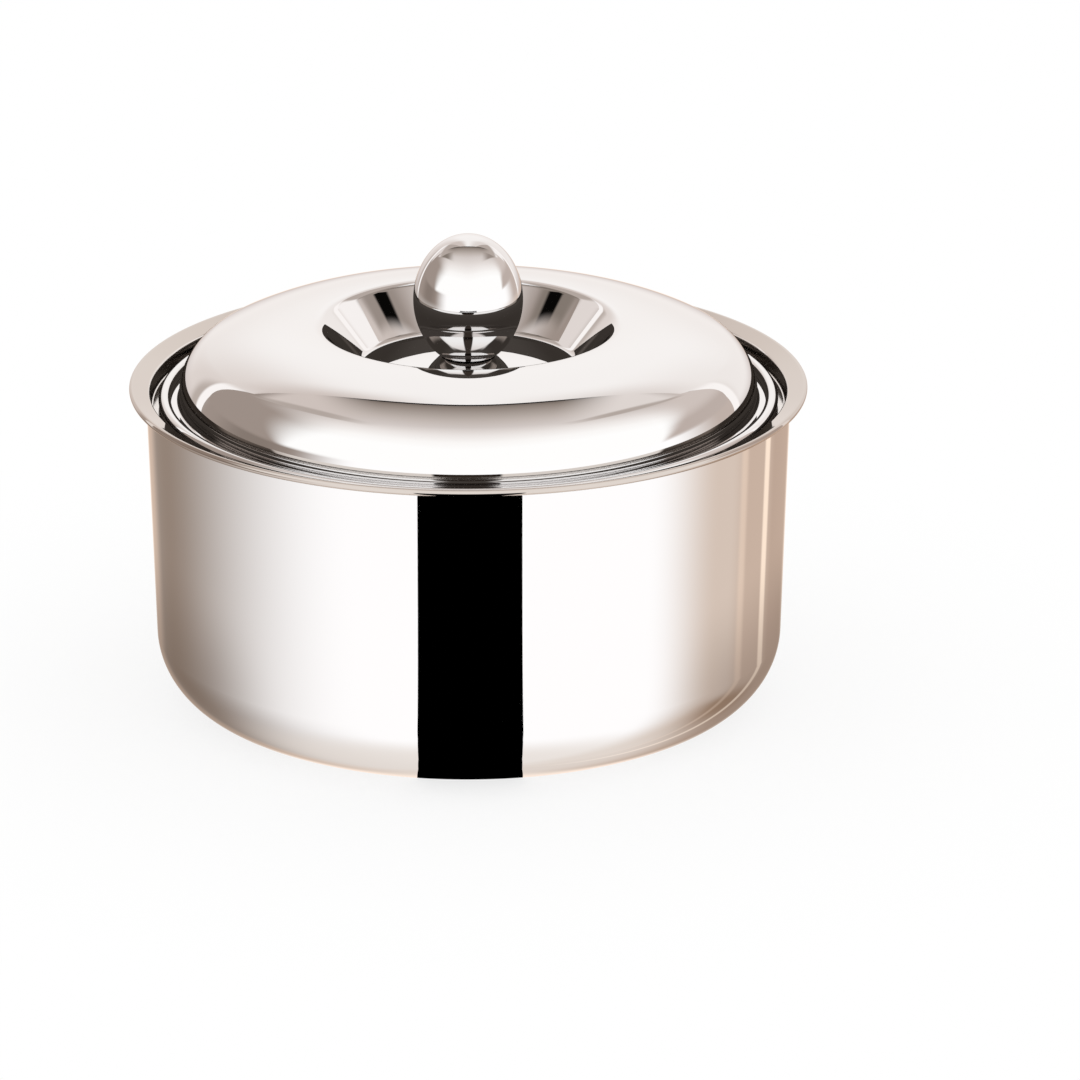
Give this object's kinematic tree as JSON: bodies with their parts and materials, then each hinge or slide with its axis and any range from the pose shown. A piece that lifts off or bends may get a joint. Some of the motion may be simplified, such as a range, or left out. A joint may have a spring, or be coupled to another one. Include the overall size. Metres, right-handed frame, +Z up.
{
  "type": "insulated casserole",
  "caption": "Round double-walled steel casserole with foam insulation and a lift-off lid that has a recessed centre and an egg-shaped knob.",
  "frame": {"origin": "middle of the flat ring that the pot stands on, at the bottom centre of the bounding box", "axes": "+Z up along the axis of revolution; X and Y are alike, because every piece is round"},
  "size_m": [0.24, 0.24, 0.1705],
  "materials": {
    "polished_steel": "mirror polished",
    "turned_steel": "turned",
    "foam": "cast rigid foam",
    "plug_plastic": "moulded"
  },
  "bodies": {
    "pot": {"outer_shell": "polished_steel", "inner_bowl": "polished_steel", "body_insulation": "foam", "base_cover": "polished_steel", "base_filler_plug": "plug_plastic"},
    "lid": {"lid_shell": "polished_steel", "lid_liner": "polished_steel", "lid_insulation": "foam", "lid_filler_plug": "plug_plastic", "knob": "polished_steel", "knob_insert": "turned_steel", "knob_screw": "turned_steel", "knob_washer": "turned_steel", "knob_spring_washer": "turned_steel"}
  },
  "joints": [
    {"name": "lid_lift", "type": "slide", "parent": "pot", "child": "lid", "axis": [0, 0, 1], "range_m": [0, 0.12]}
  ]
}
